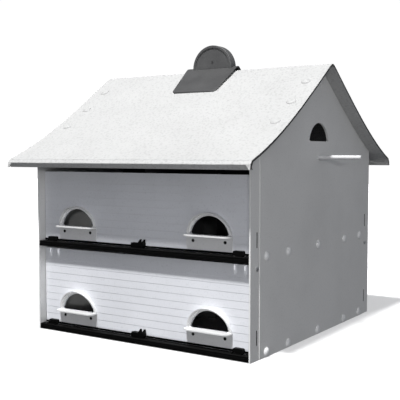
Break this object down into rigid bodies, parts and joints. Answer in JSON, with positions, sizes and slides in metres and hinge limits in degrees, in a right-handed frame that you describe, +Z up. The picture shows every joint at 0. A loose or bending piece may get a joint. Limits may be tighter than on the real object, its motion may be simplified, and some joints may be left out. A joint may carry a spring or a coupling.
{
  "type": "martin house",
  "caption": "Two-storey white bird house with a flared gable roof, half-moon entrances with porches, lift-up doors and a grey ridge cap.",
  "frame": {"origin": "middle of the footprint, on the surface the house stands on", "axes": "X along the doors with the perch rods at both ends, -Y out of the front doors, +Z up"},
  "size_m": [0.648, 0.6172, 0.5633],
  "materials": {
    "roof_white": "embossed matt white",
    "wall_white": "satin white",
    "door_white": "satin white",
    "moulding_white": "gloss white",
    "inside_white": "matt white",
    "rail_black": "gloss black",
    "ridge_grey": "matt dark grey",
    "pin_metal": "bright steel",
    "sleeve_metal": "plain aluminium",
    "screw_black": "black coated",
    "vent_mesh": "black mesh"
  },
  "bodies": {
    "house": {"roof": "roof_white", "ridge_saddle": "ridge_grey", "ridge_drum": "ridge_grey", "drum_bolt": "ridge_grey", "gable_wall_left": "wall_white", "vent_screen_left": "vent_mesh", "perch_rod_left": "moulding_white", "gable_wall_right": "wall_white", "vent_screen_right": "vent_mesh", "perch_rod_right": "moulding_white", "floor_lower": "inside_white", "floor_upper": "inside_white", "ceiling": "inside_white", "pole_sleeve": "sleeve_metal", "room_divider_lower": "inside_white", "rail_front_lower": "rail_black", "rail_rear_lower": "rail_black", "room_divider_upper": "inside_white", "rail_front_upper": "rail_black", "rail_rear_upper": "rail_black", "hinge_pin_front_lower_left": "pin_metal", "hinge_pin_front_lower_right": "pin_metal", "hinge_pin_rear_lower_left": "pin_metal", "hinge_pin_rear_lower_right": "pin_metal", "hinge_pin_front_upper_left": "pin_metal", "hinge_pin_front_upper_right": "pin_metal", "hinge_pin_rear_upper_left": "pin_metal", "hinge_pin_rear_upper_right": "pin_metal"},
    "door_front_lower": {"door_panel_front_lower": "door_white", "door_trim_front_lower": "rail_black", "entrance_front_lower_left": "moulding_white", "entrance_screw_front_lower_left_a": "screw_black", "entrance_screw_front_lower_left_b": "screw_black", "entrance_front_lower_right": "moulding_white", "entrance_screw_front_lower_right_a": "screw_black", "entrance_screw_front_lower_right_b": "screw_black"},
    "door_rear_lower": {"door_panel_rear_lower": "door_white", "door_trim_rear_lower": "rail_black", "entrance_rear_lower_left": "moulding_white", "entrance_screw_rear_lower_left_a": "screw_black", "entrance_screw_rear_lower_left_b": "screw_black", "entrance_rear_lower_right": "moulding_white", "entrance_screw_rear_lower_right_a": "screw_black", "entrance_screw_rear_lower_right_b": "screw_black"},
    "door_front_upper": {"door_panel_front_upper": "door_white", "door_trim_front_upper": "rail_black", "entrance_front_upper_left": "moulding_white", "entrance_screw_front_upper_left_a": "screw_black", "entrance_screw_front_upper_left_b": "screw_black", "entrance_front_upper_right": "moulding_white", "entrance_screw_front_upper_right_a": "screw_black", "entrance_screw_front_upper_right_b": "screw_black"},
    "door_rear_upper": {"door_panel_rear_upper": "door_white", "door_trim_rear_upper": "rail_black", "entrance_rear_upper_left": "moulding_white", "entrance_screw_rear_upper_left_a": "screw_black", "entrance_screw_rear_upper_left_b": "screw_black", "entrance_rear_upper_right": "moulding_white", "entrance_screw_rear_upper_right_a": "screw_black", "entrance_screw_rear_upper_right_b": "screw_black"}
  },
  "joints": [
    {"name": "door_hinge_front_lower", "type": "hinge", "parent": "house", "child": "door_front_lower", "pos_m": [0, -0.236, 0.154], "axis": [-1, 0, 0], "range_deg": [0, 85]},
    {"name": "door_hinge_rear_lower", "type": "hinge", "parent": "house", "child": "door_rear_lower", "pos_m": [0, 0.236, 0.154], "axis": [1, 0, 0], "range_deg": [0, 85]},
    {"name": "door_hinge_front_upper", "type": "hinge", "parent": "house", "child": "door_front_upper", "pos_m": [0, -0.236, 0.3034], "axis": [-1, 0, 0], "range_deg": [0, 80]},
    {"name": "door_hinge_rear_upper", "type": "hinge", "parent": "house", "child": "door_rear_upper", "pos_m": [0, 0.236, 0.3034], "axis": [1, 0, 0], "range_deg": [0, 80]}
  ]
}
